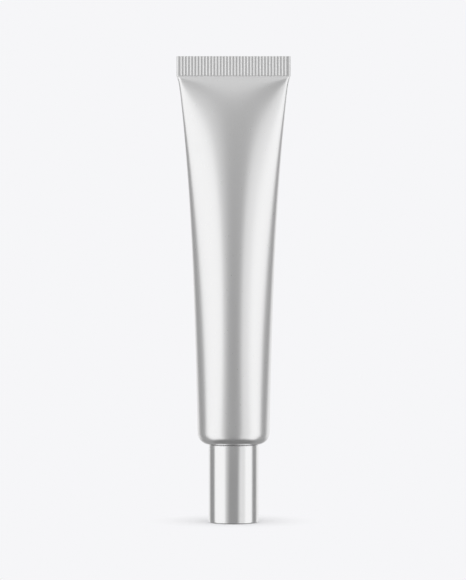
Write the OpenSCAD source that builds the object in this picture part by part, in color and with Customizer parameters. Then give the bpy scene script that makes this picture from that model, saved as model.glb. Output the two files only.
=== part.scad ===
// Shaving cream tube that stands on its screw cap, sealed end up.
// Millimetres, +Z up, origin on the floor at the centre of the cap's end.
// The flat seal is widest along X, and the front of the tube faces -Y.

/* [Tube] */
// Diameter of the round end of the tube
tube_d = 25; // [22:0.5:28]
// Length from the face of the shoulder to the top of the seal
tube_l = 134.7; // [110:0.1:160]
// Thickness of the laminate wall
wall = 0.4; // [0.3:0.05:0.5]
// Radius of the rounded shoulder
corner_r = 4; // [3.9:0.05:4.3]
// Share of the tube's inside, by height, that cream fills
fill_share = 0.92; // [0.3:0.01:0.95]

/* [Seal] */
// Height of the grooved seal
seal_h = 6.9; // [5:0.1:9]
// Thickness of the seal
seal_t = 0.9; // [0.85:0.05:1.2]
// Distance from one groove to the next
groove_pitch = 1.1; // [1:0.05:1.2]
// Number of grooves across the seal
groove_count = 34; // [30:1:38]
// Width of a groove
groove_w = 0.55; // [0.3:0.05:0.7]
// Depth of a groove
groove_depth = 0.15; // [0.1:0.01:0.2]
// Distance from the seal's edge to the middle of the first groove
seal_margin = 1.65; // [1.2:0.05:2.5]
// Distance that the grooves stand to the left of the middle
groove_shift = 0.2; // [0:0.05:0.25]

/* [Neck] */
// Diameter of the neck under its thread
neck_d = 9.6; // [9:0.1:10]
// Length of the neck below the shoulder's face
neck_l = 10.6; // [9:0.1:12]
// Bore of the neck
neck_bore_d = 6.2; // [5:0.1:6.6]
// Hole that the cream leaves by
orifice_d = 3.4; // [2:0.1:4]
// Distance that one turn moves the cap
thread_pitch = 2.5; // [2.4:0.1:3]
// Height of the thread ridge
thread_depth = 0.62; // [0.4:0.02:0.7]

/* [Cap] */
// Outside diameter of the cap
cap_d = 17.3; // [17:0.1:19]
// Height of the cap
cap_h = 27.1; // [24:0.1:32]
// Wall of the drawn metal shell
shell_wall = 0.45; // [0.35:0.05:0.5]
// Radius of the edge that the cap stands on
foot_r = 0.6; // [0.4:0.1:1]
// Number of ribs that centre the core in the shell
core_ribs = 8; // [6:1:12]

/* [Hidden] */

// Fits
mouth_gap = 0.1;      // between the cap's rim and the tube's shoulder
press_gap = 0.02;     // between faces that are pushed together
wad_gap = 0.25;       // round the sealing wad, which is free to turn
cream_gap = 0.12;     // between the cream and what holds it
thread_gap = 0.2;     // from each thread's crest to the wall that it faces

// Levels, from the floor up
face_z = cap_h + mouth_gap;
mouth_z = face_z - neck_l;
round_z = face_z + corner_r;
top_z = face_z + tube_l;
seal_z = top_z - seal_h;

// Tube
tube_r = tube_d / 2;
seal_w = groove_pitch * (groove_count - 1) + 2 * seal_margin;
seal_edge = 0.9;       // width of the rounding at the seal's two edges
lip_r = 7.4;           // hole that the sleeve leaves round the neck
cavity_share = 0.985;  // share of the way to the seal where the two walls meet
around = 56;           // points round the sleeve
loft_steps = 15;       // rings from the round end to the seal
corner_steps = 6;      // rings round the shoulder
edge_steps = 4;        // steps round each edge of the seal

// Shoulder, moulded inside the sleeve
shoulder_t = 1;
skirt_h = 3;
head_gap = 0.12;       // between the moulded head and the sleeve that it is set in
disc_t = 0.3;
neck_r = neck_d / 2;
bore_r = neck_bore_d / 2;

// Nozzle insert
flange_t = 0.6;
insert_l = 6;

// Threads
thread_steps = 30;     // steps in one turn
ridge_turns = 2.5;
ridge_w = 1.1;         // width of a ridge at its root
crest_w = 0.5;         // width of a ridge at its crest
root_sink = 0.2;       // depth that a ridge's root is sunk into its wall
flank_play = 0.15;     // play between the flanks that hold the cap on
thread_z = mouth_z + flange_t + 1.4; // level where the neck's ridge starts

// Cap
cap_r = cap_d / 2;
shell_in_r = cap_r - shell_wall;
wad_t = 1.4;
deck_t = 1.4;
deck_z = mouth_z - wad_t;
socket_r = neck_r + thread_depth + thread_gap;
socket_wall = 1;
core_z = shell_wall;
core_top_z = cap_h - 0.3;
wad_r = socket_r - wad_gap;
bead_r = wad_r - 0.15;
bead_h = 0.4;
flange_h = 1;
rib_w = 0.8;

// The tube's outline at share s of the way up from the shoulder to the seal: half its width,
// half its depth, and how far its sides reach past the rounded front and back. The depth falls
// as the width grows, so that the girth of the wall stays that of the round end.
function half_w(s) = tube_r + (seal_w / 2 - tube_r) * (0.39 * s + 0.53 * pow(s, 3) + 0.08 * pow(s, 60));
function half_d(s) = seal_t / 2 + (tube_r - seal_t / 2) * pow(1 - pow(s, 2.6), 0.57);
function side_reach(s) = 3.1 * (1 - pow(1 - s, 2.6));

// One ring of points at height z. With a reach above 0 the front and back are rounder than an
// ellipse's and the sides sharper, and with a fullness below 1 the oval is flatter.
function ring(a, b, z, n, reach = 0, fullness = 1) = [
    for (i = [0 : n - 1])
        let (c = cos(360 * i / n), s = sin(360 * i / n))
        [(a - reach) * c + reach * sign(c) * pow(c, 4), b * sign(s) * pow(abs(s), fullness), z]
];

// Rings of the tube's outline, or of that outline drawn in by an inset.
function corner_rings(inset, n) = [
    for (k = [0 : corner_steps - 1])
        let (t = 90 * k / corner_steps, r = corner_r - inset)
        ring(tube_r - corner_r + r * sin(t), tube_r - corner_r + r * sin(t), round_z - r * cos(t), n)
];
function loft_ring(inset, s, n) =
    let (z = round_z + s * (seal_z - round_z), fullness = 1 - 0.5 * pow(s, 30))
    ring(half_w(s) - inset, half_d(s) - inset, z, n, side_reach(s), fullness);

// A closed solid through a list of rings, with a flat end on the first and the last.
module skin_rings(rings) {
    n = len(rings[0]);
    m = len(rings);
    polyhedron(
        points = [for (r = rings) each r],
        faces = concat(
            [[for (i = [0 : n - 1]) i]],
            [
                for (k = [0 : m - 2], i = [0 : n - 1])
                    let (j = (i + 1) % n)
                    [k * n + i, (k + 1) * n + i, (k + 1) * n + j, k * n + j]
            ],
            [[for (i = [n - 1 : -1 : 0]) (m - 1) * n + i]]
        ),
        convexity = 6
    );
}

// Points of an arc about [cx, cy], for profiles.
function arc(cx, cy, r, from, to, steps) = [
    for (k = [0 : steps]) let (t = from + (to - from) * k / steps) [cx + r * cos(t), cy + r * sin(t)]
];

// A right-handed thread ridge that fades out at both ends. It stands outwards from root_r,
// or inwards if crest_r is smaller, and its root lies a little inside the wall that carries it.
module thread_ridge(root_r, crest_r, from_z, turns) {
    steps = round(turns * thread_steps);
    fade = thread_steps / 5;
    section = function (k)
        let (
            angle = 360 * k / thread_steps,
            z = from_z + thread_pitch * k / thread_steps,
            share = max(0.05, min(1, k / fade, (steps - k) / fade)),
            r = root_r + (crest_r - root_r) * share
        )
        [
            for (p = [[root_r, -ridge_w / 2], [r, -crest_w / 2], [r, crest_w / 2], [root_r, ridge_w / 2]])
                [p[0] * cos(angle), p[0] * sin(angle), z + p[1]]
        ];
    skin_rings([for (k = [0 : steps]) section(crest_r > root_r ? steps - k : k)]);
}

// Laminate sleeve: turned in over the shoulder at one end, pressed flat and grooved at the other.
// Its skin runs down the inside, round the lip under the shoulder, and up the outside.
module tube_sleeve() {
    levels = [for (k = [0 : loft_steps]) 1 - pow(1 - k / loft_steps, 1.5)];
    inner = concat(corner_rings(wall, around), [for (s = levels) loft_ring(wall, cavity_share * s, around)]);
    outer = concat(corner_rings(0, around), [for (s = levels) loft_ring(0, s, around)]);
    color("silver") {
        skin_rings(concat(
            [for (k = [len(inner) - 1 : -1 : 0]) inner[k]],
            [ring(lip_r, lip_r, face_z + wall, around), ring(lip_r, lip_r, face_z, around)],
            outer
        ));
        translate([0, 0, seal_z - 0.3]) linear_extrude(seal_h + 0.3) seal_section();
    }
}

// Section of the seal: two walls pressed together between jaws, which leave grooves in both
// sides. Its edges are the rounded folds of the tube.
module seal_section() {
    half_t = seal_t / 2;
    edge = [
        for (k = [0 : edge_steps])
            let (t = 90 * k / edge_steps)
            [seal_w / 2 - seal_edge * (1 - cos(t)), half_t * sin(t)]
    ];
    grooves = [
        for (k = [0 : groove_count - 1], p = [[-groove_w / 2, 0], [0, groove_depth], [groove_w / 2, 0]])
            [groove_pitch * (k - (groove_count - 1) / 2) - groove_shift + p[0], half_t - p[1]]
    ];
    front = concat([for (p = edge) [-p[0], p[1]]], grooves, [for (k = [edge_steps : -1 : 0]) edge[k]]);
    polygon(concat(front, [for (k = [len(front) - 2 : -1 : 1]) [front[k][0], -front[k][1]]]));
}

// Moulded head: a dished shoulder, and the neck that the cap screws on to.
module tube_shoulder() {
    out_r = corner_r - wall - head_gap;
    in_r = out_r - shoulder_t;
    arc_x = tube_r - corner_r;
    color("whitesmoke") {
        rotate_extrude($fn = 96) polygon(concat(
            [[bore_r, mouth_z + flange_t], [neck_r, mouth_z + flange_t], [neck_r, face_z]],
            [[lip_r - press_gap, face_z], [lip_r - press_gap, face_z + wall + head_gap]],
            arc(arc_x, round_z, out_r, -90, 0, 8),
            [[arc_x + out_r, round_z + skirt_h], [arc_x + out_r - 0.5, round_z + skirt_h]],
            arc(arc_x, round_z, in_r, 0, -90, 8),
            [[bore_r, round_z - in_r]]
        ));
        thread_ridge(neck_r - root_sink, neck_r + thread_depth, thread_z, ridge_turns);
    }
}

// Barrier disc: laminate that lines the inside of the shoulder.
module barrier_disc() {
    out_r = corner_r - wall - head_gap - shoulder_t - press_gap;
    in_r = out_r - disc_t;
    arc_x = tube_r - corner_r;
    color("gainsboro") rotate_extrude($fn = 96) polygon(concat(
        [[bore_r + 0.3, round_z - out_r]],
        arc(arc_x, round_z, out_r, -90, -20, 8),
        arc(arc_x, round_z, in_r, -20, -90, 8),
        [[bore_r + 0.3, round_z - in_r]]
    ));
}

// Nozzle insert: a plug with a flange, pushed into the neck to make the bead of cream thinner.
module nozzle_insert() {
    plug_r = bore_r - press_gap;
    color("white") rotate_extrude($fn = 96) polygon([
        [orifice_d / 2, mouth_z], [neck_r - 0.45, mouth_z], [neck_r - 0.2, mouth_z + 0.25],
        [neck_r - 0.2, mouth_z + flange_t], [plug_r, mouth_z + flange_t],
        [plug_r, mouth_z + insert_l - 0.5], [plug_r - 0.3, mouth_z + insert_l],
        [bore_r - 0.8, mouth_z + insert_l], [orifice_d / 2, mouth_z + insert_l - 2]
    ]);
}

// Cream: fills the tube up to a level below the seal, and the neck down to the nozzle.
module cream_fill() {
    n = 48;
    floor_r = corner_r - wall - head_gap - shoulder_t - disc_t - 2 * press_gap - cream_gap;
    arc_x = tube_r - corner_r;
    column_r = orifice_d / 2 - cream_gap;
    throat_r = bore_r - cream_gap;
    insert_top = mouth_z + insert_l;
    color("ivory") skin_rings(concat(
        [for (p = [[column_r, mouth_z + 0.5], [column_r, insert_top + 0.2], [throat_r, insert_top + 0.6],
                [throat_r, round_z - floor_r]]) ring(p[0], p[0], p[1], n)],
        [for (p = arc(arc_x, round_z, floor_r, -88, 0, 5)) ring(p[0], p[0], p[1], n)],
        [ring(arc_x + floor_r, arc_x + floor_r, round_z + skirt_h, n)],
        [for (k = [2 : 16]) loft_ring(wall + cream_gap, fill_share * k / 16, n)]
    ));
}

// Sealing wad: a foam disc that the neck's end presses on. A bead keeps it in the cap.
module sealing_wad() {
    edge = 0.25;
    color("ghostwhite") rotate_extrude($fn = 96) polygon([
        [0, deck_z], [wad_r - edge, deck_z], [wad_r, deck_z + edge],
        [wad_r, mouth_z - edge], [wad_r - edge, mouth_z], [0, mouth_z]
    ]);
}

// Cap core: the moulded socket with the thread, the deck under the wad, and ribs out to the shell.
module cap_core() {
    out_r = socket_r + socket_wall;
    rim_r = shell_in_r - press_gap;
    ledge_z = mouth_z + 0.1;
    color("whitesmoke") {
        rotate_extrude($fn = 96) polygon([
            [socket_r, core_z], [out_r, core_z], [out_r, core_top_z - flange_h],
            [rim_r, core_top_z - flange_h], [rim_r, core_top_z],
            [socket_r + 0.5, core_top_z], [socket_r, core_top_z - 0.5],
            [socket_r, ledge_z + 2 * bead_h], [bead_r, ledge_z + bead_h], [socket_r, ledge_z],
            [socket_r, deck_z], [0, deck_z], [0, deck_z - deck_t], [socket_r, deck_z - deck_t]
        ]);
        intersection() {
            cylinder(r = rim_r, h = core_top_z, $fn = 96);
            for (k = [0 : core_ribs - 1]) rotate(360 * k / core_ribs)
                translate([out_r - 0.3, -rib_w / 2, foot_r])
                    cube([rim_r - out_r + 1, rib_w, core_top_z - foot_r - flange_h + 0.1]);
        }
        thread_ridge(socket_r + root_sink, neck_r + thread_gap, socket_thread_z(), ridge_turns);
    }
}

// Level where the cap's ridge starts: in the neck's groove, just above the neck's ridge,
// so that the flanks that hold the cap on have only their play between them.
function socket_thread_z() =
    let (
        roots_apart = socket_r - neck_r + 2 * root_sink,
        height = thread_depth + root_sink,
        flanks_touch = ridge_w - (ridge_w - crest_w) / 2 * roots_apart / height
    )
    thread_z + flanks_touch + flank_play;

// Cap shell: a drawn cup of metal, pushed over the core. The tube stands on its end.
module cap_shell() {
    color("silver") rotate_extrude($fn = 96) polygon(concat(
        [[0, 0]],
        arc(cap_r - foot_r, foot_r, foot_r, -90, 0, 6),
        [[cap_r, cap_h - 0.1], [cap_r - 0.1, cap_h], [shell_in_r + 0.1, cap_h], [shell_in_r, cap_h - 0.1]],
        arc(cap_r - foot_r, foot_r, foot_r - shell_wall, 0, -90, 3),
        [[0, shell_wall]]
    ));
}

tube_sleeve();
tube_shoulder();
barrier_disc();
nozzle_insert();
cream_fill();
sealing_wad();
cap_core();
cap_shell();
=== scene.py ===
import math

import bmesh
import bpy
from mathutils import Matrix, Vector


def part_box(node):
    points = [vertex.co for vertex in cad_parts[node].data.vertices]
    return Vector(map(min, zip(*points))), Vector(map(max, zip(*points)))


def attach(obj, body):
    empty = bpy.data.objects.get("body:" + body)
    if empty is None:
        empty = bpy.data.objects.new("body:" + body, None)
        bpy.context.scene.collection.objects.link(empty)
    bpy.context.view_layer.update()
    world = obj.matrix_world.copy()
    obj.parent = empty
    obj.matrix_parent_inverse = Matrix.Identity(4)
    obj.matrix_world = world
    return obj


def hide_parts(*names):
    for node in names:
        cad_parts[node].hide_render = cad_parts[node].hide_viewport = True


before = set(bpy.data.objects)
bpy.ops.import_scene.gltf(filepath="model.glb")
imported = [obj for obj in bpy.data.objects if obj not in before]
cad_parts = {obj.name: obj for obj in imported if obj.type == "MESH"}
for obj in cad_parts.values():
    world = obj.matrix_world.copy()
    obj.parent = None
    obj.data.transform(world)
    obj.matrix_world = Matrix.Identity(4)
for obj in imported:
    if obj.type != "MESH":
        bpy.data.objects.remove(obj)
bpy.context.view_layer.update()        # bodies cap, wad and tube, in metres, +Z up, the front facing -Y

scene = bpy.context.scene
mm = 0.001
print("frame loaded:", ", ".join(sorted(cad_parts)))


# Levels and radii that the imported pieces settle

def boxOf(node):
    low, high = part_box(node)
    return {"radius": high.x, "low": low.z, "high": high.z}


sleeveBox = boxOf("tube_sleeve")
shoulderBox = boxOf("tube_shoulder")
insertBox = boxOf("nozzle_insert")
wadBox = boxOf("sealing_wad")
coreBox = boxOf("cap_core")
shellBox = boxOf("cap_shell")
creamBox = boxOf("cream_fill")


# Camera, level with the middle of the tube

cameraValues = {
    "distance": 910 * mm,
    "height": 80.7 * mm,
    "side": -0.2 * mm,
    "lens": 162.6,       # on a 36 mm sensor
}


def makeCamera(values):
    data = bpy.data.cameras.new("camera")
    data.lens = values["lens"]
    data.sensor_width = 36
    data.clip_start = 0.01
    data.clip_end = 20
    camera = bpy.data.objects.new("camera", data)
    camera.location = (values["side"], -values["distance"], values["height"])
    camera.rotation_euler = (math.radians(90), 0, 0)
    scene.collection.objects.link(camera)
    scene.camera = camera


makeCamera(cameraValues)
scene.view_settings.view_transform = "Standard"
print("camera set")


# Sums of sockets, for geometry, shader and world trees alike

class Field:
    def __init__(self, tree, socket):
        self.tree = tree
        self.socket = socket

    def __add__(self, other):
        return fieldMath(self.tree, "ADD", self, other)

    def __radd__(self, other):
        return fieldMath(self.tree, "ADD", other, self)

    def __sub__(self, other):
        return fieldMath(self.tree, "SUBTRACT", self, other)

    def __rsub__(self, other):
        return fieldMath(self.tree, "SUBTRACT", other, self)

    def __mul__(self, other):
        return fieldMath(self.tree, "MULTIPLY", self, other)

    def __rmul__(self, other):
        return fieldMath(self.tree, "MULTIPLY", other, self)

    def __truediv__(self, other):
        return fieldMath(self.tree, "DIVIDE", self, other)


def plug(tree, value, socket):
    if isinstance(value, Field):
        tree.links.new(value.socket, socket)
    elif isinstance(value, bpy.types.NodeSocket):
        tree.links.new(value, socket)
    else:
        socket.default_value = value


def fieldMath(tree, operation, *values):
    node = tree.nodes.new("ShaderNodeMath")
    node.operation = operation
    for value, socket in zip(values, node.inputs):
        plug(tree, value, socket)
    return Field(tree, node.outputs[0])


def clamped(tree, value, low, high):
    return fieldMath(tree, "MINIMUM", fieldMath(tree, "MAXIMUM", value, low), high)


def mixed(a, b, share):
    return a + (b - a) * share


def smoothBand(tree, value, low, high):
    # 0 below low, 1 above high, and a smooth rise between them
    node = tree.nodes.new("ShaderNodeMapRange")
    node.interpolation_type = "SMOOTHSTEP"
    plug(tree, value, node.inputs["Value"])
    plug(tree, low, node.inputs["From Min"])
    plug(tree, high, node.inputs["From Max"])
    return Field(tree, node.outputs["Result"])


def colourBetween(tree, mask, colour, otherColour):
    # colour, and otherColour where the mask is 1
    mix = tree.nodes.new("ShaderNodeMix")
    mix.data_type = "RGBA"
    plug(tree, mask, mix.inputs[0])
    for value, socket in ((colour, mix.inputs[6]), (otherColour, mix.inputs[7])):
        plug(tree, value if isinstance(value, bpy.types.NodeSocket) else (*value, 1), socket)
    return mix.outputs[2]


# Studio: a flat pale backdrop for the camera, and soft panels that only the metal mirrors.
# Panels are painted in order. Azimuth 0 is towards the camera and 90 is +X, in degrees. A panel
# may lean to one side and grow, by so many degrees for each degree of tilt.

studioValues = {
    "backdrop": (0.9216, 0.9216, 0.9387),
    "room": 0.29,
    "climbFrom": -4,         # tilts between which panels lean and grow
    "climbTo": 14,
    "diffuseLow": 0.8,
    "diffuseRise": 0.3,
    "diffuseFront": 0.35,
    "floorSize": 1.6,
    "shadowBack": 5 * mm,    # middle of the shaded patch, behind the object's middle
    "shadowFrom": 9 * mm,    # radius that is fully shaded, and radius where the shade has faded out
    "shadowTo": 32 * mm,
}
studioPanels = [
    {"name": "wall above", "azimuth": 0, "half": 400, "soft": 1, "level": 0.37,
     "tilt": 23, "halfTilt": 20, "softTilt": 6, "lean": 0, "grow": 0},
    {"name": "left spill", "azimuth": -60, "half": 34, "soft": 9, "level": 0.58,
     "tilt": -5, "halfTilt": 43, "softTilt": 9, "lean": 0.25, "grow": 0.25},
    {"name": "left box", "azimuth": -68.5, "half": 30, "soft": 2.6, "level": 0.96,
     "tilt": -5, "halfTilt": 43, "softTilt": 9, "lean": 0.1, "grow": 0.1},
    {"name": "right fill", "azimuth": 59.3, "half": 35.5, "soft": 7, "level": 0.76,
     "tilt": -5, "halfTilt": 43, "softTilt": 9, "lean": 0.35, "grow": -0.2},
    {"name": "right box", "azimuth": 75, "half": 20.2, "soft": 4, "level": 0.97,
     "tilt": -5, "halfTilt": 43, "softTilt": 9, "lean": 0, "grow": 0},
    {"name": "backdrop", "azimuth": 175.5, "half": 45, "soft": 9, "level": 0.865,
     "tilt": 22, "halfTilt": 41.2, "softTilt": 9, "lean": 0, "grow": 0},
    {"name": "floor behind", "azimuth": 180, "half": 70, "soft": 12, "level": 0.33,
     "tilt": -60, "halfTilt": 32, "softTilt": 8, "lean": 0, "grow": 0},
    {"name": "overhead", "azimuth": 0, "half": 400, "soft": 1, "level": 0.6,
     "tilt": 90, "halfTilt": 54, "softTilt": 7, "lean": 0, "grow": 0},
    {"name": "dark floor", "azimuth": 0, "half": 400, "soft": 1, "level": 0.19,
     "tilt": -90, "halfTilt": 38, "softTilt": 7, "lean": 0, "grow": 0},
]


def makeWorld(values, panels):
    world = bpy.data.worlds.new("studio")
    scene.world = world
    world.use_nodes = True
    tree = world.node_tree
    tree.nodes.clear()
    direction = tree.nodes.new("ShaderNodeTexCoord").outputs["Generated"]
    split = tree.nodes.new("ShaderNodeSeparateXYZ")
    tree.links.new(direction, split.inputs[0])
    x, y, z = (Field(tree, split.outputs[axis]) for axis in "XYZ")
    azimuth = fieldMath(tree, "DEGREES", fieldMath(tree, "ARCTAN2", x, y * -1))
    tilt = fieldMath(tree, "DEGREES", fieldMath(tree, "ARCSINE", z))
    climb = clamped(tree, tilt, values["climbFrom"], values["climbTo"]) - values["climbFrom"]
    mirrored = values["room"]
    for panel in panels:
        middle = climb * panel["lean"] + panel["azimuth"]
        half = climb * panel["grow"] + panel["half"]
        away = fieldMath(tree, "ABSOLUTE", fieldMath(tree, "WRAP", azimuth - middle, 180, -180))
        above = fieldMath(tree, "ABSOLUTE", tilt - panel["tilt"])
        across = smoothBand(tree, away, half + panel["soft"], half - panel["soft"])
        outside, inside = (panel["halfTilt"] + side * panel["softTilt"] for side in (1, -1))
        up = smoothBand(tree, above, outside, inside)
        mirrored = mixed(mirrored, panel["level"], across * up)
    diffuse = z * values["diffuseRise"] - y * values["diffuseFront"] + values["diffuseLow"]

    rays = tree.nodes.new("ShaderNodeLightPath")
    output = tree.nodes.new("ShaderNodeOutputWorld")
    shaders = []
    for strength in (diffuse, mirrored, 1.0):
        background = tree.nodes.new("ShaderNodeBackground")
        plug(tree, strength, background.inputs["Strength"])
        background.inputs["Color"].default_value = (1, 1, 1, 1)
        shaders.append(background)
    shaders[2].inputs["Color"].default_value = (*values["backdrop"], 1)
    shader = shaders[0].outputs[0]
    for ray, background in (("Is Glossy Ray", shaders[1]), ("Is Camera Ray", shaders[2])):
        mix = tree.nodes.new("ShaderNodeMixShader")
        tree.links.new(rays.outputs[ray], mix.inputs[0])
        tree.links.new(shader, mix.inputs[1])
        tree.links.new(background.outputs[0], mix.inputs[2])
        shader = mix.outputs[0]
    tree.links.new(shader, output.inputs["Surface"])


def makeFloor(values):
    # plain paper as bright as the backdrop, shaded only near the object
    half = values["floorSize"] / 2
    mesh = bpy.data.meshes.new("floor")
    corners = [(x * half, y * half, 0) for x, y in ((-1, -1), (1, -1), (1, 1), (-1, 1))]
    mesh.from_pydata(corners, [], [(0, 1, 2, 3)])
    floor = bpy.data.objects.new("floor", mesh)
    scene.collection.objects.link(floor)
    material = bpy.data.materials.new("floorPaper")
    material.use_nodes = True
    tree = material.node_tree
    shader = tree.nodes["Principled BSDF"]
    shader.inputs["Roughness"].default_value = 1
    shader.inputs["Specular IOR Level"].default_value = 0
    length = tree.nodes.new("ShaderNodeVectorMath")
    length.operation = "LENGTH"
    shift = tree.nodes.new("ShaderNodeVectorMath")
    shift.inputs[1].default_value = (0, -values["shadowBack"], 0)
    tree.links.new(tree.nodes.new("ShaderNodeTexCoord").outputs["Object"], shift.inputs[0])
    tree.links.new(shift.outputs[0], length.inputs[0])
    near = smoothBand(tree, length.outputs["Value"], values["shadowTo"], values["shadowFrom"])
    lit = values["diffuseLow"] + values["diffuseRise"] * 2 / 3    # the light that open floor gets
    paper = [c / lit for c in values["backdrop"]]
    plug(tree, colourBetween(tree, near, (0, 0, 0), paper), shader.inputs["Base Color"])
    plug(tree, colourBetween(tree, near, values["backdrop"], (0, 0, 0)), shader.inputs["Emission Color"])
    shader.inputs["Emission Strength"].default_value = 1
    facing = Field(tree, tree.nodes.new("ShaderNodeNewGeometry").outputs["Backfacing"])
    plug(tree, 1 - facing, shader.inputs["Alpha"])
    mesh.materials.append(material)
    floor.visible_glossy = False
    floor.visible_diffuse = False


makeWorld(studioValues, studioPanels)
makeFloor(studioValues)
print("studio set")


# Shader groups that several finishes share

def newGroup(name, inputs, outputs):
    tree = bpy.data.node_groups.new(name, "ShaderNodeTree")
    for label, kind, value in inputs:
        socket = tree.interface.new_socket(label, in_out="INPUT", socket_type=kind)
        if value is not None:
            socket.default_value = value
    for label in outputs:
        tree.interface.new_socket(label, in_out="OUTPUT", socket_type="NodeSocketFloat")
    start = tree.nodes.new("NodeGroupInput")
    end = tree.nodes.new("NodeGroupOutput")
    return tree, start.outputs, end.inputs


def noiseField(tree, vector, scale, detail, roughness=0.5):
    noise = tree.nodes.new("ShaderNodeTexNoise")
    plug(tree, vector, noise.inputs["Vector"])
    plug(tree, scale, noise.inputs["Scale"])
    noise.inputs["Detail"].default_value = detail
    noise.inputs["Roughness"].default_value = roughness
    return Field(tree, noise.outputs["Fac"])


def makeGrainGroup():
    # fine grain, drawn out along one way, as a height and as a roughness about a middle value
    tree, given, result = newGroup(
        "fineGrain",
        [("Vector", "NodeSocketVector", None), ("Stretch", "NodeSocketVector", (1, 1, 1)),
         ("Scale", "NodeSocketFloat", 1000), ("Roughness", "NodeSocketFloat", 0.3),
         ("Spread", "NodeSocketFloat", 0.05)],
        ["Height", "Roughness"],
    )
    stretch = tree.nodes.new("ShaderNodeVectorMath")
    stretch.operation = "MULTIPLY"
    tree.links.new(given["Vector"], stretch.inputs[0])
    tree.links.new(given["Stretch"], stretch.inputs[1])
    grain = noiseField(tree, stretch.outputs[0], given["Scale"], 3, 0.6)
    plug(tree, grain, result["Height"])
    rough = (grain - 0.5) * Field(tree, given["Spread"]) * 2 + Field(tree, given["Roughness"])
    plug(tree, rough, result["Roughness"])
    return tree


def makeMarksGroup():
    # broad soft marks that handling leaves, as a mask
    tree, given, result = newGroup(
        "handlingMarks",
        [("Vector", "NodeSocketVector", None), ("Scale", "NodeSocketFloat", 60),
         ("Cover", "NodeSocketFloat", 0.5)],
        ["Mask"],
    )
    broad = noiseField(tree, given["Vector"], given["Scale"], 4, 0.55)
    cover = Field(tree, given["Cover"])
    mask = smoothBand(tree, broad, 0.72 - cover * 0.3, 0.86 - cover * 0.3)
    plug(tree, mask, result["Mask"])
    return tree


grainGroup = makeGrainGroup()
marksGroup = makeMarksGroup()


def placeGroup(tree, group, **values):
    node = tree.nodes.new("ShaderNodeGroup")
    node.node_tree = group
    for label, value in values.items():
        plug(tree, value, node.inputs[label])
    return node


# One dictionary for each finish

finishes = {
    "metallisedFilm": {
        "colour": (0.955, 0.955, 0.958), "markColour": (0.925, 0.925, 0.93), "metallic": 0.96,
        "roughness": 0.28,
        # painted light: the seal's grooves are coloured a little lighter than the film
        "paintedGrooveLight": (0.97, 0.97, 0.972), "pressedRoughness": 0.07,
        "spread": 0.015, "grainScale": 3200, "stretch": (1, 1, 0.15), "bump": 0.0002 * mm,
        "markScale": 45, "markCover": 0.35, "markRoughness": 0.03,
    },
    "satinAluminium": {
        "colour": (0.945, 0.945, 0.95), "markColour": (0.91, 0.91, 0.915), "metallic": 1, "roughness": 0.2,
        "spread": 0.02, "grainScale": 3600, "stretch": (1, 1, 0.06), "bump": 0.0004 * mm,
        "markScale": 70, "markCover": 0.3, "markRoughness": 0.05,
    },
    "foilLaminate": {
        "colour": (0.9, 0.905, 0.91), "markColour": (0.84, 0.845, 0.85), "metallic": 1, "roughness": 0.24,
        "spread": 0.06, "grainScale": 1500, "stretch": (1, 1, 1), "bump": 0.01 * mm,
        "markScale": 90, "markCover": 0.4, "markRoughness": 0.06,
    },
    "headPlastic": {
        "colour": (0.83, 0.835, 0.83), "markColour": (0.79, 0.79, 0.775), "metallic": 0, "roughness": 0.42,
        "spread": 0.08, "grainScale": 1800, "stretch": (1, 1, 1), "bump": 0.012 * mm,
        "markScale": 120, "markCover": 0.4, "markRoughness": 0.08,
    },
    "insertPlastic": {
        "colour": (0.9, 0.9, 0.885), "markColour": (0.86, 0.86, 0.84), "metallic": 0, "roughness": 0.3,
        "spread": 0.06, "grainScale": 1800, "stretch": (1, 1, 1), "bump": 0.008 * mm,
        "markScale": 140, "markCover": 0.35, "markRoughness": 0.06,
    },
    "corePlastic": {
        "colour": (0.8, 0.8, 0.795), "markColour": (0.75, 0.75, 0.74), "metallic": 0, "roughness": 0.46,
        "spread": 0.08, "grainScale": 1600, "stretch": (1, 1, 1), "bump": 0.014 * mm,
        "markScale": 110, "markCover": 0.4, "markRoughness": 0.08,
    },
    "creamFill": {
        "colour": (0.93, 0.93, 0.905), "markColour": (0.9, 0.9, 0.87), "metallic": 0, "roughness": 0.32,
        "spread": 0.08, "grainScale": 700, "stretch": (1, 1, 1), "bump": 0.03 * mm,
        "markScale": 200, "markCover": 0.5, "markRoughness": 0.1,
    },
}


def surfaceValue(tree, label):
    node = tree.nodes.new("ShaderNodeAttribute")
    node.attribute_name = label
    return Field(tree, node.outputs["Fac"])


def makeFinish(name, values):
    material = bpy.data.materials.new(name)
    material.use_nodes = True
    tree = material.node_tree
    shader = tree.nodes["Principled BSDF"]
    place = tree.nodes.new("ShaderNodeTexCoord").outputs["Object"]
    grain = placeGroup(tree, grainGroup, Vector=place, Stretch=values["stretch"], Scale=values["grainScale"],
                       Roughness=values["roughness"], Spread=values["spread"])
    marks = placeGroup(tree, marksGroup, Vector=place, Scale=values["markScale"], Cover=values["markCover"])
    mask = Field(tree, marks.outputs["Mask"])
    colour = colourBetween(tree, mask, values["colour"], values["markColour"])
    rough = Field(tree, grain.outputs["Roughness"]) + mask * values["markRoughness"]
    # painted light in the seal's grooves: the groove mask blends in a lighter colour
    if "paintedGrooveLight" in values:
        colour = colourBetween(tree, surfaceValue(tree, "groove"), colour, values["paintedGrooveLight"])
        rough = rough + surfaceValue(tree, "pressed") * values["pressedRoughness"]
    plug(tree, colour, shader.inputs["Base Color"])
    plug(tree, rough, shader.inputs["Roughness"])
    shader.inputs["Metallic"].default_value = values["metallic"]
    bump = tree.nodes.new("ShaderNodeBump")
    bump.inputs["Strength"].default_value = 1
    bump.inputs["Distance"].default_value = values["bump"]
    plug(tree, grain.outputs["Height"], bump.inputs["Height"])
    tree.links.new(bump.outputs["Normal"], shader.inputs["Normal"])
    return material


foamValues = {
    "colour": (0.86, 0.86, 0.85), "cellShadeColour": (0.74, 0.74, 0.73), "cellScale": 5200, "roughness": 0.62,
    "roughSpread": 0.15, "bump": 0.02 * mm,
}


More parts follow.
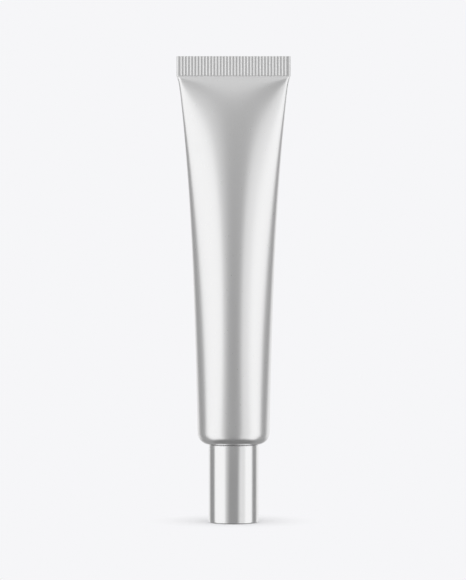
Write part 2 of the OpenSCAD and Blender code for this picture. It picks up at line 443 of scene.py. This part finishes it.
def makeFoamFinish(name, values):
    # closed cells, seen as small dimples, with painted shade: each dimple's hollow is coloured darker
    material = bpy.data.materials.new(name)
    material.use_nodes = True
    tree = material.node_tree
    shader = tree.nodes["Principled BSDF"]
    cells = tree.nodes.new("ShaderNodeTexVoronoi")
    cells.inputs["Scale"].default_value = values["cellScale"]
    tree.links.new(tree.nodes.new("ShaderNodeTexCoord").outputs["Object"], cells.inputs["Vector"])
    dimple = smoothBand(tree, cells.outputs["Distance"], 0.1, 0.7)
    # painted shade: a darker colour where the bump sinks into each cell
    plug(tree, colourBetween(tree, dimple, values["cellShadeColour"], values["colour"]), shader.inputs["Base Color"])
    plug(tree, dimple * values["roughSpread"] + values["roughness"], shader.inputs["Roughness"])
    bump = tree.nodes.new("ShaderNodeBump")
    bump.inputs["Distance"].default_value = values["bump"]
    plug(tree, dimple, bump.inputs["Height"])
    tree.links.new(bump.outputs["Normal"], shader.inputs["Normal"])
    return material


materials = {name: makeFinish(name, values) for name, values in finishes.items()}
materials["wadFoam"] = makeFoamFinish("wadFoam", foamValues)
print("finishes made:", len(materials))


# Trees and meshes

def newTree(name, **inputs):
    # inputs are the labels of each kind of socket
    tree = bpy.data.node_groups.new(name, "GeometryNodeTree")
    tree.interface.new_socket("Geometry", in_out="INPUT", socket_type="NodeSocketGeometry")
    tree.interface.new_socket("Geometry", in_out="OUTPUT", socket_type="NodeSocketGeometry")
    for kind, labels in inputs.items():
        for label in labels:
            tree.interface.new_socket(label, in_out="INPUT", socket_type="NodeSocket" + kind)
    tree.interface.new_socket("Material", in_out="INPUT", socket_type="NodeSocketMaterial")
    start = tree.nodes.new("NodeGroupInput")
    end = tree.nodes.new("NodeGroupOutput")
    return tree, start.outputs, end.inputs


def movedPoints(tree, geometry, x, y, z):
    # the points put at x, y, z, and merged where they meet
    combine = tree.nodes.new("ShaderNodeCombineXYZ")
    for value, socket in zip((x, y, z), combine.inputs):
        plug(tree, value, socket)
    move = tree.nodes.new("GeometryNodeSetPosition")
    tree.links.new(geometry, move.inputs["Geometry"])
    tree.links.new(combine.outputs[0], move.inputs["Position"])
    merge = tree.nodes.new("GeometryNodeMergeByDistance")
    merge.inputs["Distance"].default_value = 0.0005 * mm
    tree.links.new(move.outputs[0], merge.inputs["Geometry"])
    return merge.outputs[0]


def endTree(tree, geometry, given, result):
    realize = tree.nodes.new("GeometryNodeRealizeInstances")
    paint = tree.nodes.new("GeometryNodeSetMaterial")
    tree.links.new(geometry, realize.inputs[0])
    tree.links.new(realize.outputs[0], paint.inputs["Geometry"])
    tree.links.new(given["Material"], paint.inputs["Material"])
    tree.links.new(paint.outputs[0], result["Geometry"])


def growMesh(base, tree, sizes):
    # runs the tree on the base object and gives back the plain mesh
    modifier = base.modifiers.new(tree.name, "NODES")
    modifier.node_group = tree
    for item in tree.interface.items_tree:
        if item.item_type == "SOCKET" and item.in_out == "INPUT" and item.name in sizes:
            modifier[item.identifier] = sizes[item.name]
    graph = bpy.context.evaluated_depsgraph_get()
    mesh = bpy.data.meshes.new_from_object(base.evaluated_get(graph))
    base.modifiers.remove(modifier)
    return mesh


def objectFrom(name, mesh):
    piece = bpy.data.objects.new(name, mesh)
    scene.collection.objects.link(piece)
    return piece


def finishPiece(piece, body, node, sharpAngle=32):
    mesh = piece.data
    for face in mesh.polygons:
        face.use_smooth = True
    mesh.set_sharp_from_angle(angle=math.radians(sharpAngle))
    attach(piece, body)
    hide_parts(node)
    print(piece.name, "made,", sum(len(face.vertices) - 2 for face in mesh.polygons), "triangles")


# Tube wall: rings of points whose place a tree works out from each ring's level

tubeValues = {
    "around": 576,           # points round the wall, 8 to a groove
    "roundRadius": 12.5 * mm,
    "cornerRadius": 4 * mm,
    "wall": 0.4 * mm,
    "lipRadius": 7.4 * mm,
    "sealHeight": 6.9 * mm,
    "sealThickness": 0.9 * mm,
    "sealEdge": 1.2 * mm,    # width of the rounding at the seal's two edges
    "grooveCount": 34,
    "groovePitch": 1.1 * mm,
    "grooveWidth": 0.55 * mm,
    "grooveDepth": 0.13 * mm,
    "grooveShift": 0.1 * mm,  # to the left of the middle
    "sideReach": 3.1 * mm,
    "seamHalf": 0.9 * mm,    # the lap seam down the back
    "seamEdge": 0.25 * mm,
    "seamHeight": 0.1 * mm,
    "seamBelow": 1.5 * mm,   # it rises from this far below the round level to this far above it
    "seamAbove": 1 * mm,
    "seamPressed": 0.6,      # share of its height that the jaws take away
    # powers of the share of the way up to the seal
    "widening": ((1, 0.39), (3, 0.53), (60, 0.08)),    # with the part that each plays in the width
    "thinning": 2.6,         # by which the depth falls
    "thinningEnd": 0.57,     # below 1, so that it falls faster near the seal
    "reaching": 2.6,         # by which the sides reach out past an ellipse
    "flattening": 30,        # by which the oval turns into the seal's section
    "spacing": 400,          # by which the points move to their places on the seal
    "gathering": 0.66,       # below 1, so that a groove's points stand nearer its edges
    "cavityShare": 0.985,    # share of the way to the seal where the two walls meet
    # mm above the foot of the seal, and the share of a groove's depth there
    "pressRamp": ((0.06, 0), (0.14, 0.35), (0.22, 0.75), (0.32, 0.95), (0.45, 1)),
    # mm below the top of the seal, and mm inwards
    "topBevel": ((0.4, 0), (0.1, 0), (0.03, 0.03), (0, 0.1)),
}
roundLevel = sleeveBox["low"] + tubeValues["cornerRadius"]
sealLevel = sleeveBox["high"] - tubeValues["sealHeight"]


def levelAt(share):
    return roundLevel + share * (sealLevel - roundLevel)


def makeWallTree(v):
    tree, given, result = newTree("tubeWall", Int=("Around", "Groove Count"), Float=(
        "Round Radius", "Corner Radius", "Round Level", "Side Reach", "Seal Level", "Seal Half Width",
        "Seal Thickness", "Seal Edge", "Groove Pitch", "Groove Width", "Groove Depth", "Groove Shift",
        "Seam Half", "Seam Edge", "Seam Height",
    ))

    def size(label):
        return Field(tree, given[label])

    def ringValue(label):
        node = tree.nodes.new("GeometryNodeInputNamedAttribute")
        node.data_type = "FLOAT"
        node.inputs["Name"].default_value = label
        return Field(tree, node.outputs["Attribute"])

    def power(value, exponent):
        return fieldMath(tree, "POWER", value, exponent)

    def either(value, other, test):
        # other where test is above 0
        return mixed(value, other, fieldMath(tree, "GREATER_THAN", test, 0))

    level, inset, fixed = ringValue("level"), ringValue("inset"), ringValue("fixedRadius")
    pressed, closing = ringValue("pressed"), ringValue("closing")
    share = fieldMath(tree, "DIVIDE", level - size("Round Level"), size("Seal Level") - size("Round Level"))
    share = clamped(tree, share, 0, 1)

    # half width, half depth and side reach at this share of the way to the seal
    spread = sum(power(share, exponent) * part for exponent, part in v["widening"])
    halfWidth = mixed(size("Round Radius"), size("Seal Half Width"), spread)
    taper = power(fieldMath(tree, "MAXIMUM", 1 - power(share, v["thinning"]), 0), v["thinningEnd"])
    halfDepth = mixed(size("Seal Thickness") * 0.5, size("Round Radius"), taper)
    flattening = power(share, v["flattening"])
    reach = size("Side Reach") * (1 - power(1 - share, v["reaching"])) * (1 - flattening)
    fullness = 1 - flattening

    # the rounded shoulder, below the round level
    cornerRadius = size("Corner Radius") - inset
    below = fieldMath(tree, "MAXIMUM", size("Round Level") - level, 0)
    rise = fieldMath(tree, "SQRT", fieldMath(tree, "MAXIMUM", cornerRadius * cornerRadius - below * below, 0))
    shrink = inset + cornerRadius - rise
    a = either(halfWidth - shrink, fixed, fixed)
    b = either(halfDepth - shrink, fixed, fixed)
    reach = either(reach, 0, fixed)

    # angle round the ring: even steps on the round end, and even steps across the seal
    index = Field(tree, tree.nodes.new("GeometryNodeInputIndex").outputs[0])
    turn = fieldMath(tree, "MODULO", index, size("Around")) / size("Around")
    evenAngle = turn * 2 * math.pi
    across = fieldMath(tree, "PINGPONG", turn * 2, 1) * -2 + 1
    acrossAngle = fieldMath(tree, "ARCCOSINE", across)
    back = fieldMath(tree, "GREATER_THAN", 0.5001, turn)
    acrossAngle = mixed(2 * math.pi - acrossAngle, acrossAngle, back)
    angle = mixed(evenAngle, acrossAngle, power(share, 4) * (1 - fieldMath(tree, "GREATER_THAN", fixed, 0)))
    cosine = fieldMath(tree, "COSINE", angle)
    sine = fieldMath(tree, "SINE", angle)
    x = (a - reach) * cosine + reach * fieldMath(tree, "SIGN", cosine) * power(cosine * cosine, 2)
    sineSize = fieldMath(tree, "MAXIMUM", fieldMath(tree, "ABSOLUTE", sine), 0.000001)
    side = fieldMath(tree, "SIGN", fieldMath(tree, "ROUND", sine * 100000))
    depth = b * power(sineSize, fullness)

    # the seal: two plain margins, and the grooves between them
    count = size("Groove Count")
    grooveSpan = size("Groove Pitch") * count * 0.5
    cell = (across * 0.5 + 0.5) * (count + 2)    # the left margin from 0 to 1, then one to a groove
    inGrooves = clamped(tree, cell - 1, 0, count)
    margin = size("Seal Half Width") - grooveSpan
    leftMargin = fieldMath(tree, "MINIMUM", cell, 1) * (margin - size("Groove Shift"))
    rightMargin = fieldMath(tree, "MAXIMUM", cell - count - 1, 0) * (margin + size("Groove Shift"))
    fromMiddle = fieldMath(tree, "FRACT", inGrooves + 0.0001) - 0.5
    offMiddle = fieldMath(tree, "ABSOLUTE", fromMiddle)
    gathered = power(offMiddle * 2, v["gathering"]) * 0.5
    inGrooves = inGrooves + fieldMath(tree, "SIGN", fromMiddle) * (gathered - offMiddle)
    sealX = leftMargin + inGrooves * size("Groove Pitch") + rightMargin
    x = mixed(x, (sealX / size("Seal Half Width") - 1) * a, power(share, v["spacing"]))
    isGroove = fieldMath(tree, "LESS_THAN", fieldMath(tree, "ABSOLUTE", cell - count * 0.5 - 1), count * 0.5)
    hollow = 1 - gathered * size("Groove Pitch") * 2 / size("Groove Width")
    groove = fieldMath(tree, "MAXIMUM", hollow, 0) * isGroove * pressed
    toEdge = clamped(tree, 1 - (a - fieldMath(tree, "ABSOLUTE", x)) / size("Seal Edge"), 0, 1)
    depth = depth * mixed(1, fieldMath(tree, "SQRT", 1 - toEdge * toEdge), flattening)
    depth = depth - groove * size("Groove Depth")

    # lap seam: one lapped edge of the laminate stands proud down the middle of the back
    edge = fieldMath(tree, "ABSOLUTE", x) - size("Seam Half")
    seam = smoothBand(tree, edge, size("Seam Edge"), 0.0)
    onBack = fieldMath(tree, "GREATER_THAN", side, 0) * fieldMath(tree, "LESS_THAN", inset, 0.0001)
    begun = smoothBand(tree, level, size("Round Level") - v["seamBelow"], size("Round Level") + v["seamAbove"])
    depth = depth + size("Seam Height") * seam * onBack * begun * (1 - pressed * v["seamPressed"])

    # the groove share is stored for the film's finish, which paints light into the grooves with it
    store = tree.nodes.new("GeometryNodeStoreNamedAttribute")
    store.inputs["Name"].default_value = "groove"
    plug(tree, groove, store.inputs["Value"])
    tree.links.new(given["Geometry"], store.inputs["Geometry"])
    wall = movedPoints(tree, store.outputs[0], x, depth * side * (1 - closing), level)
    endTree(tree, wall, given, result)
    return tree


def ringMesh(name, rings, around):
    # rings of points joined by quads, with each ring's values on its points
    faces = []
    for k in range(len(rings) - 1):
        for i in range(around):
            j = (i + 1) % around
            faces.append((k * around + i, k * around + j, (k + 1) * around + j, (k + 1) * around + i))
    mesh = bpy.data.meshes.new(name)
    mesh.from_pydata([(0, 0, 0)] * (len(rings) * around), [], faces)
    for label in ("level", "inset", "fixedRadius", "pressed", "closing"):
        values = [ring.get(label, 0) for ring in rings for _ in range(around)]
        mesh.attributes.new(label, "FLOAT", "POINT").data.foreach_set("value", values)
    return mesh


def cornerLevels(radius, steps):
    # from the round level down to the shoulder's face
    return [roundLevel - radius * math.sin(math.pi / 2 * k / steps) for k in range(1, steps + 1)]


def wallRings(v):
    wall, low, top = v["wall"], sleeveBox["low"], sleeveBox["high"]
    cavity = v["cavityShare"]
    innerShares = [1 - (1 - k / 14) ** 1.5 for k in range(15)]
    rings = [{"level": levelAt(cavity), "inset": wall, "closing": 1}]
    rings += [{"level": levelAt(cavity * share), "inset": wall} for share in reversed(innerShares)]
    rings += [{"level": level, "inset": wall} for level in cornerLevels(v["cornerRadius"] - wall, 4)]
    lip = v["lipRadius"]
    rings += [{"level": low + wall * 0.8, "inset": wall, "fixedRadius": lip + wall * 0.05}]
    rings += [{"level": low + wall * 0.5, "inset": wall, "fixedRadius": lip}]
    rings += [{"level": low + wall * 0.15, "inset": wall, "fixedRadius": lip + wall * 0.08}]
    rings += [{"level": low, "fixedRadius": lip + wall * 0.4}]
    rings += [{"level": level} for level in reversed(cornerLevels(v["cornerRadius"], 14))]
    rings += [{"level": levelAt(1 - (1 - k / 72) ** 1.9)} for k in range(73)]
    rings += [{"level": sealLevel + height * mm, "pressed": share} for height, share in v["pressRamp"]]
    rings += [{"level": sealLevel + k * 1.3 * mm, "pressed": 1} for k in range(1, 5)]
    rings += [{"level": top - height * mm, "inset": inset * mm, "pressed": 1}
              for height, inset in v["topBevel"]]
    rings.append({"level": top, "inset": v["topBevel"][-1][1] * mm, "closing": 1})
    return rings


wallTree = makeWallTree(tubeValues)


def growWall(name, rings, around, v, material):
    base = objectFrom(name + "Base", ringMesh(name + "Base", rings, around))
    mesh = growMesh(base, wallTree, {
        "Around": around, "Round Radius": v["roundRadius"], "Seal Half Width": sleeveBox["radius"],
        "Corner Radius": v["cornerRadius"], "Round Level": roundLevel, "Seal Level": sealLevel,
        "Side Reach": v["sideReach"], "Seal Thickness": v["sealThickness"], "Seal Edge": v["sealEdge"],
        "Groove Count": v["grooveCount"], "Groove Pitch": v["groovePitch"], "Groove Width": v["grooveWidth"],
        "Groove Depth": v["grooveDepth"], "Groove Shift": v["grooveShift"], "Seam Half": v["seamHalf"],
        "Seam Edge": v["seamEdge"], "Seam Height": v["seamHeight"], "Material": material,
    })
    bpy.data.objects.remove(base)
    mesh.name = name
    for label in ("level", "inset", "fixedRadius", "closing"):
        mesh.attributes.remove(mesh.attributes[label])
    return objectFrom(name, mesh)


def makeSleeve(v):
    piece = growWall("tubeSleeve", wallRings(v), v["around"], v, materials["metallisedFilm"])
    finishPiece(piece, "tube", "tube_sleeve", sharpAngle=20)


makeSleeve(tubeValues)


# Turned pieces: a section with rounded corners, spun about the axis

def roundedSection(corners, closed, steps=4):
    # corners are (radius, level, fillet) in order round the section
    points = []
    count = len(corners)
    for i, (r, z, fillet) in enumerate(corners):
        if fillet == 0 or (not closed and i in (0, count - 1)):
            points.append((r, z))
            continue
        (ra, za, _), (rb, zb, _) = corners[i - 1], corners[(i + 1) % count]
        toA, toB = math.hypot(ra - r, za - z), math.hypot(rb - r, zb - z)
        ax, ay, bx, by = (ra - r) / toA, (za - z) / toA, (rb - r) / toB, (zb - z) / toB
        half = math.acos(max(-1, min(1, ax * bx + ay * by))) / 2
        reach = min(fillet / math.tan(half), toA * 0.48, toB * 0.48)
        fillet = reach * math.tan(half)
        middle = math.hypot(ax + bx, ay + by)
        cx = r + (ax + bx) / middle * fillet / math.sin(half)
        cz = z + (ay + by) / middle * fillet / math.sin(half)
        start = math.atan2(z + ay * reach - cz, r + ax * reach - cx)
        end = math.atan2(z + by * reach - cz, r + bx * reach - cx)
        sweep = (end - start + math.pi) % (2 * math.pi) - math.pi
        for k in range(steps + 1):
            angle = start + sweep * k / steps
            points.append((cx + fillet * math.cos(angle), cz + fillet * math.sin(angle)))
    return points


def turnedMesh(name, section, closed, around=192):
    # a point on the axis is one point, and any other makes a ring
    mesh = bpy.data.meshes.new(name)
    shape = bmesh.new()
    turns = [2 * math.pi * i / around for i in range(around)]
    rows = []
    for r, z in section:
        if r < 0.00001 * mm:
            rows.append([shape.verts.new((0, 0, z))] * around)
        else:
            rows.append([shape.verts.new((r * math.cos(turn), r * math.sin(turn), z)) for turn in turns])
    pairs = list(zip(rows, rows[1:])) + ([(rows[-1], rows[0])] if closed else [])
    for lower, upper in pairs:
        for i in range(around):
            j = (i + 1) % around
            corners = []
            for vert in (lower[i], lower[j], upper[j], upper[i]):
                if vert not in corners:
                    corners.append(vert)
            if len(corners) > 2:
                shape.faces.new(corners)
    bmesh.ops.recalc_face_normals(shape, faces=shape.faces)
    shape.to_mesh(mesh)
    shape.free()
    return mesh


# Cap shell

shellValues = {
    "wall": 0.45 * mm,
    "footRadius": 0.6 * mm,
    "rimWidth": 0.3 * mm,    # the rounding of the rim, which turns in towards the core
    "rimHeight": 0.4 * mm,
    "dish": 0.12 * mm,       # the end is drawn in a little inside its standing ring
    "dishRadius": 6.6 * mm,
}


def makeShell(v):
    radius, height = shellBox["radius"], shellBox["high"]
    inner = radius - v["wall"]
    turns = [math.radians(11.25 * k) for k in range(9)]
    rim = [(radius - v["rimWidth"] * (1 - math.cos(turn)), height - v["rimHeight"] * (1 - math.sin(turn)), 0)
           for turn in turns]
    outline = [
        (0, v["dish"], 0), (v["dishRadius"] - 0.5 * mm, v["dish"], 0.8 * mm), (v["dishRadius"], 0, 0.8 * mm),
        (radius, 0, v["footRadius"]), *rim, (inner, height, 0.05 * mm),
        (inner, v["wall"], v["footRadius"] - v["wall"]), (0, v["wall"], 0),
    ]
    section = roundedSection(outline, closed=False, steps=8)
    piece = objectFrom("capShell", turnedMesh("capShell", section, closed=False, around=256))
    piece.data.materials.append(materials["satinAluminium"])
    finishPiece(piece, "cap", "cap_shell")


makeShell(shellValues)


# Threads and ribs that the turned pieces carry

threadValues = {
    "pitch": 2.5 * mm,
    "turns": 2.5,
    "rootWidth": 1.1 * mm,
    "crestWidth": 0.5 * mm,
    "rootSink": 0.2 * mm,
    "depth": 0.62 * mm,
    "gap": 0.2 * mm,
    "play": 0.15 * mm,
    "start": 1.4 * mm,       # above the insert's flange
    "fade": 0.08,            # share of the ridge that runs out at each end
    "steps": 181,
}
ridgeCorners = 5             # points round the ridge's section, the last on the first


def makeRidgeTree():
    # a ridge that winds up round the axis and runs out at both ends, joined to the base
    tree, given, result = newTree("screwRidge", Int=("Steps",), Float=(
        "Root Radius", "Crest Radius", "Root Width", "Crest Width", "Pitch", "Turns", "Start Level", "Fade",
    ))

    def size(label):
        return Field(tree, given[label])

    grid = tree.nodes.new("GeometryNodeMeshGrid")
    grid.inputs["Size X"].default_value = 1
    grid.inputs["Size Y"].default_value = 1
    tree.links.new(given["Steps"], grid.inputs["Vertices X"])
    grid.inputs["Vertices Y"].default_value = ridgeCorners
    index = Field(tree, tree.nodes.new("GeometryNodeInputIndex").outputs[0])
    step = fieldMath(tree, "FLOOR", index / ridgeCorners + 0.001)
    corner = fieldMath(tree, "MODULO", index, ridgeCorners)
    share = step / (size("Steps") - 1)
    runOut = smoothBand(tree, fieldMath(tree, "MINIMUM", share, 1 - share), 0.0, size("Fade"))
    isCrest = fieldMath(tree, "COMPARE", corner, 1.5, 0.6)
    isLower = fieldMath(tree, "COMPARE", corner, 0.5, 0.6) + fieldMath(tree, "COMPARE", corner, 4, 0.1)
    radius = mixed(size("Root Radius"), size("Crest Radius"), isCrest * runOut)
    halfWidth = mixed(size("Root Width"), size("Crest Width"), isCrest) * 0.5 * (runOut * 0.9 + 0.1)
    angle = share * size("Turns") * 2 * math.pi
    level = size("Start Level") + size("Pitch") * size("Turns") * share + halfWidth * (1 - isLower * 2)
    x, y = (radius * fieldMath(tree, operation, angle) for operation in ("COSINE", "SINE"))
    ridge = movedPoints(tree, grid.outputs["Mesh"], x, y, level)
    join = tree.nodes.new("GeometryNodeJoinGeometry")
    tree.links.new(ridge, join.inputs[0])
    tree.links.new(given["Geometry"], join.inputs[0])
    endTree(tree, join.outputs[0], given, result)
    return tree


ridgeTree = makeRidgeTree()


def closeRidge(mesh):
    # caps the two open ends of the ridge and turns all faces outwards
    shape = bmesh.new()
    shape.from_mesh(mesh)
    bmesh.ops.holes_fill(shape, edges=[edge for edge in shape.edges if edge.is_boundary], sides=4)
    bmesh.ops.recalc_face_normals(shape, faces=shape.faces)
    shape.to_mesh(mesh)
    shape.free()


def addRidge(base, rootRadius, crestRadius, startLevel, material):
    v = threadValues
    mesh = growMesh(base, ridgeTree, {
        "Root Radius": rootRadius, "Crest Radius": crestRadius, "Root Width": v["rootWidth"],
        "Crest Width": v["crestWidth"], "Pitch": v["pitch"], "Turns": v["turns"],
        "Start Level": startLevel, "Fade": v["fade"], "Steps": v["steps"], "Material": material,
    })
    closeRidge(mesh)
    return mesh


# Shoulder with its threaded neck

headValues = {
    "neckRadius": 4.8 * mm,
    "boreRadius": 3.1 * mm,
    "gap": 0.12 * mm,        # to the sleeve that it is set in
    "thickness": 1 * mm,
    "skirt": 3 * mm,
    "skirtWall": 0.5 * mm,
}


def makeHead(v):
    t = tubeValues
    low, face = shoulderBox["low"], sleeveBox["low"]
    outer = t["cornerRadius"] - t["wall"] - v["gap"]
    inner = outer - v["thickness"]
    centre = t["roundRadius"] - t["cornerRadius"]
    ledge = face + t["wall"] + v["gap"]
    turns = [k * math.pi / 24 for k in range(13)]
    outside = [(centre + outer * math.sin(turn), roundLevel - outer * math.cos(turn), 0) for turn in turns]
    inside = [(centre + inner * math.sin(turn), roundLevel - inner * math.cos(turn), 0) for turn in turns[::-1]]
    top = roundLevel + v["skirt"]
    corners = [
        (v["boreRadius"], low, 0.1 * mm), (v["neckRadius"], low, 0.25 * mm), (v["neckRadius"], face, 0.35 * mm),
        (t["lipRadius"] - 0.02 * mm, face, 0.05 * mm), (t["lipRadius"] - 0.02 * mm, ledge, 0), *outside,
        (centre + outer, top, 0.1 * mm), (centre + outer - v["skirtWall"], top, 0.15 * mm), *inside,
        (v["boreRadius"], roundLevel - inner, 0.3 * mm),
    ]
    section = roundedSection(corners, closed=True)
    base = objectFrom("shoulderBase", turnedMesh("shoulderBase", section, closed=True))
    s = threadValues
    mesh = addRidge(base, v["neckRadius"] - s["rootSink"], v["neckRadius"] + s["depth"], low + s["start"],
                    materials["headPlastic"])
    bpy.data.objects.remove(base)
    finishPiece(objectFrom("tubeShoulder", mesh), "tube", "tube_shoulder")


makeHead(headValues)


# Nozzle insert

insertValues = {
    "orifice": 1.7 * mm,
    "flangeInset": 0.2 * mm,
    "flange": 0.6 * mm,
    "pressGap": 0.02 * mm,
}


def makeInsert(v):
    low, high = insertBox["low"], insertBox["high"]
    flange = headValues["neckRadius"] - v["flangeInset"]
    plugRadius = headValues["boreRadius"] - v["pressGap"]
    corners = [
        (v["orifice"], low, 0.2 * mm), (flange, low, 0.25 * mm), (flange, low + v["flange"], 0.05 * mm),
        (plugRadius, low + v["flange"], 0.05 * mm), (plugRadius, high - 0.5 * mm, 0.1 * mm),
        (plugRadius - 0.3 * mm, high, 0.1 * mm), (headValues["boreRadius"] - 0.8 * mm, high, 0.1 * mm),
        (v["orifice"], high - 2 * mm, 0.2 * mm),
    ]
    section = roundedSection(corners, closed=True)
    piece = objectFrom("nozzleInsert", turnedMesh("nozzleInsert", section, closed=True, around=128))
    piece.data.materials.append(materials["insertPlastic"])
    finishPiece(piece, "tube", "nozzle_insert")


makeInsert(insertValues)


# Cap core: socket, flange and deck, with ribs out to the shell

coreValues = {
    "wall": 1 * mm,
    "pressGap": 0.02 * mm,
    "flange": 1 * mm,
    "deck": 1.4 * mm,
    "bead": 0.15 * mm,       # inside the wad's edge, which it holds down
    "beadRise": 0.5 * mm,
    "ribs": 8,
    "ribWidth": 0.8 * mm,
    "ribTaper": 0.15 * mm,
    "threadLift": 0.804 * mm,  # above the neck's ridge
}


def makeSpokeTree():
    # the base, with one spoke repeated round it
    tree, given, result = newTree("spokes", Object=("Spoke",), Int=("Count",))
    line = tree.nodes.new("GeometryNodeMeshLine")
    tree.links.new(given["Count"], line.inputs["Count"])
    line.inputs["Offset"].default_value = (0, 0, 0)
    spoke = tree.nodes.new("GeometryNodeObjectInfo")
    tree.links.new(given["Spoke"], spoke.inputs["Object"])
    index = Field(tree, tree.nodes.new("GeometryNodeInputIndex").outputs[0])
    turn = tree.nodes.new("ShaderNodeCombineXYZ")
    plug(tree, index / Field(tree, given["Count"]) * 2 * math.pi, turn.inputs[2])
    place = tree.nodes.new("GeometryNodeInstanceOnPoints")
    tree.links.new(line.outputs[0], place.inputs["Points"])
    tree.links.new(spoke.outputs["Geometry"], place.inputs["Instance"])
    tree.links.new(turn.outputs[0], place.inputs["Rotation"])
    join = tree.nodes.new("GeometryNodeJoinGeometry")
    tree.links.new(place.outputs[0], join.inputs[0])
    tree.links.new(given["Geometry"], join.inputs[0])
    endTree(tree, join.outputs[0], given, result)
    return tree


def makeSpoke(fromRadius, toRadius, low, high, width, taper):
    mesh = bpy.data.meshes.new("spoke")
    shape = bmesh.new()
    rows = []
    for z, half in ((low, width / 2 - taper / 2), (high, width / 2)):
        rows.append([shape.verts.new(place) for place in (
            (fromRadius, -half, z), (toRadius, -half, z), (toRadius + half * 0.08, 0, z), (toRadius, half, z),
            (fromRadius, half, z))])
    for i in range(5):
        j = (i + 1) % 5
        shape.faces.new((rows[0][i], rows[0][j], rows[1][j], rows[1][i]))
    shape.faces.new(rows[1])
    shape.faces.new(rows[0][::-1])
    bmesh.ops.recalc_face_normals(shape, faces=shape.faces)
    shape.to_mesh(mesh)
    shape.free()
    return objectFrom("spoke", mesh)


def makeCore(v):
    s = threadValues
    mouth, top, low = wadBox["high"], coreBox["high"], coreBox["low"]
    neck = headValues["neckRadius"]
    socket = neck + s["depth"] + s["gap"]
    outer = socket + v["wall"]
    rim = shellBox["radius"] - shellValues["wall"] - v["pressGap"]
    deck = wadBox["low"]
    ledge = mouth + 0.1 * mm
    bead = wadBox["radius"] - v["bead"]
    corners = [
        (0, deck, 0), (socket, deck, 0.1 * mm), (socket, ledge, 0.05 * mm),
        (bead, ledge + v["beadRise"] * 0.8, 0.12 * mm), (socket, ledge + v["beadRise"] * 1.6, 0.05 * mm),
        (socket, top - 0.5 * mm, 0.15 * mm), (socket + 0.5 * mm, top, 0.15 * mm), (rim, top, 0.2 * mm),
        (rim, top - v["flange"], 0.1 * mm), (outer, top - v["flange"], 0.3 * mm), (outer, low, 0.15 * mm),
        (socket, low, 0.15 * mm), (socket, deck - v["deck"], 0.3 * mm), (0, deck - v["deck"], 0),
    ]
    base = objectFrom("coreBase", turnedMesh("coreBase", roundedSection(corners, closed=False), closed=False))
    spoke = makeSpoke(outer - 0.3 * mm, rim - v["ribWidth"] * 0.05, low + 0.15 * mm, top - v["flange"] * 0.9,
                      v["ribWidth"], v["ribTaper"])
    material = materials["corePlastic"]
    base.data = growMesh(base, makeSpokeTree(), {"Spoke": spoke, "Count": v["ribs"], "Material": material})
    bpy.data.objects.remove(spoke)
    start = shoulderBox["low"] + s["start"] + v["threadLift"]
    mesh = addRidge(base, socket + s["rootSink"], neck + s["gap"], start, material)
    bpy.data.objects.remove(base)
    finishPiece(objectFrom("capCore", mesh), "cap", "cap_core")


makeCore(coreValues)


# Sealing wad, with the ring that the nozzle has pressed into it

wadValues = {
    "edge": 0.25 * mm,
    "pressDepth": 0.05 * mm,
    "pressFrom": 1.7 * mm,
    "pressTo": 4.6 * mm,
    "pressSlope": 0.15 * mm,
}


def makeWad(v):
    low, high, radius = wadBox["low"], wadBox["high"], wadBox["radius"]
    pressed = high - v["pressDepth"]
    corners = [
        (0, low, 0), (radius, low, v["edge"]), (radius, high, v["edge"]),
        (v["pressTo"] + v["pressSlope"], high, 0.1 * mm), (v["pressTo"], pressed, 0.1 * mm),
        (v["pressFrom"] + v["pressSlope"], pressed, 0.1 * mm),
        (v["pressFrom"], high, 0.1 * mm), (0, high, 0),
    ]
    section = roundedSection(corners, closed=False)
    piece = objectFrom("sealingWad", turnedMesh("sealingWad", section, closed=False, around=128))
    piece.data.materials.append(materials["wadFoam"])
    finishPiece(piece, "wad", "sealing_wad")


makeWad(wadValues)


# Cream, up to its level in the tube and down to a low dome in the orifice

creamValues = {
    "around": 96,
    "gap": 0.12 * mm,
    "floorRadius": 2.02 * mm,
    "fill": 0.92,
    "dome": 0.35 * mm,
}


def makeCream(v):
    column, throat = insertValues["orifice"] - v["gap"], headValues["boreRadius"] - v["gap"]
    low, insertTop = creamBox["low"], insertBox["high"]
    centre, curve = tubeValues["roundRadius"] - tubeValues["cornerRadius"], v["floorRadius"]
    floor = roundLevel - curve
    rings = [(0.0001 * mm, low)]
    rings += [(column * math.sin(turn), low + v["dome"] * (1 - math.cos(turn)))
              for turn in (math.pi / 2 * k / 6 for k in range(1, 7))]
    rings += [(column, insertTop - 1 * mm), (column, insertTop + 0.2 * mm), (throat, insertTop + 0.6 * mm),
              (throat, floor - 0.2 * mm), (throat + 0.1 * mm, floor)]
    rings += [(centre + curve * math.sin(turn), roundLevel - curve * math.cos(turn))
              for turn in (math.pi / 2 * k / 8 for k in range(9))]
    rings.append((centre + curve, roundLevel + headValues["skirt"]))
    inset = tubeValues["wall"] + v["gap"]
    rows = [{"level": z, "inset": inset, "fixedRadius": r} for r, z in rings]
    rows += [{"level": levelAt(v["fill"] * k / 24), "inset": inset} for k in range(2, 25)]
    rows.append({"level": levelAt(v["fill"]), "inset": inset, "closing": 1})
    piece = growWall("creamFill", rows, v["around"], tubeValues, materials["creamFill"])
    finishPiece(piece, "tube", "cream_fill")


makeCream(creamValues)


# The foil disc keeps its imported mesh

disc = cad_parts["barrier_disc"]
if disc.material_slots:
    disc.material_slots[0].material = materials["foilLaminate"]
else:
    disc.data.materials.append(materials["foilLaminate"])
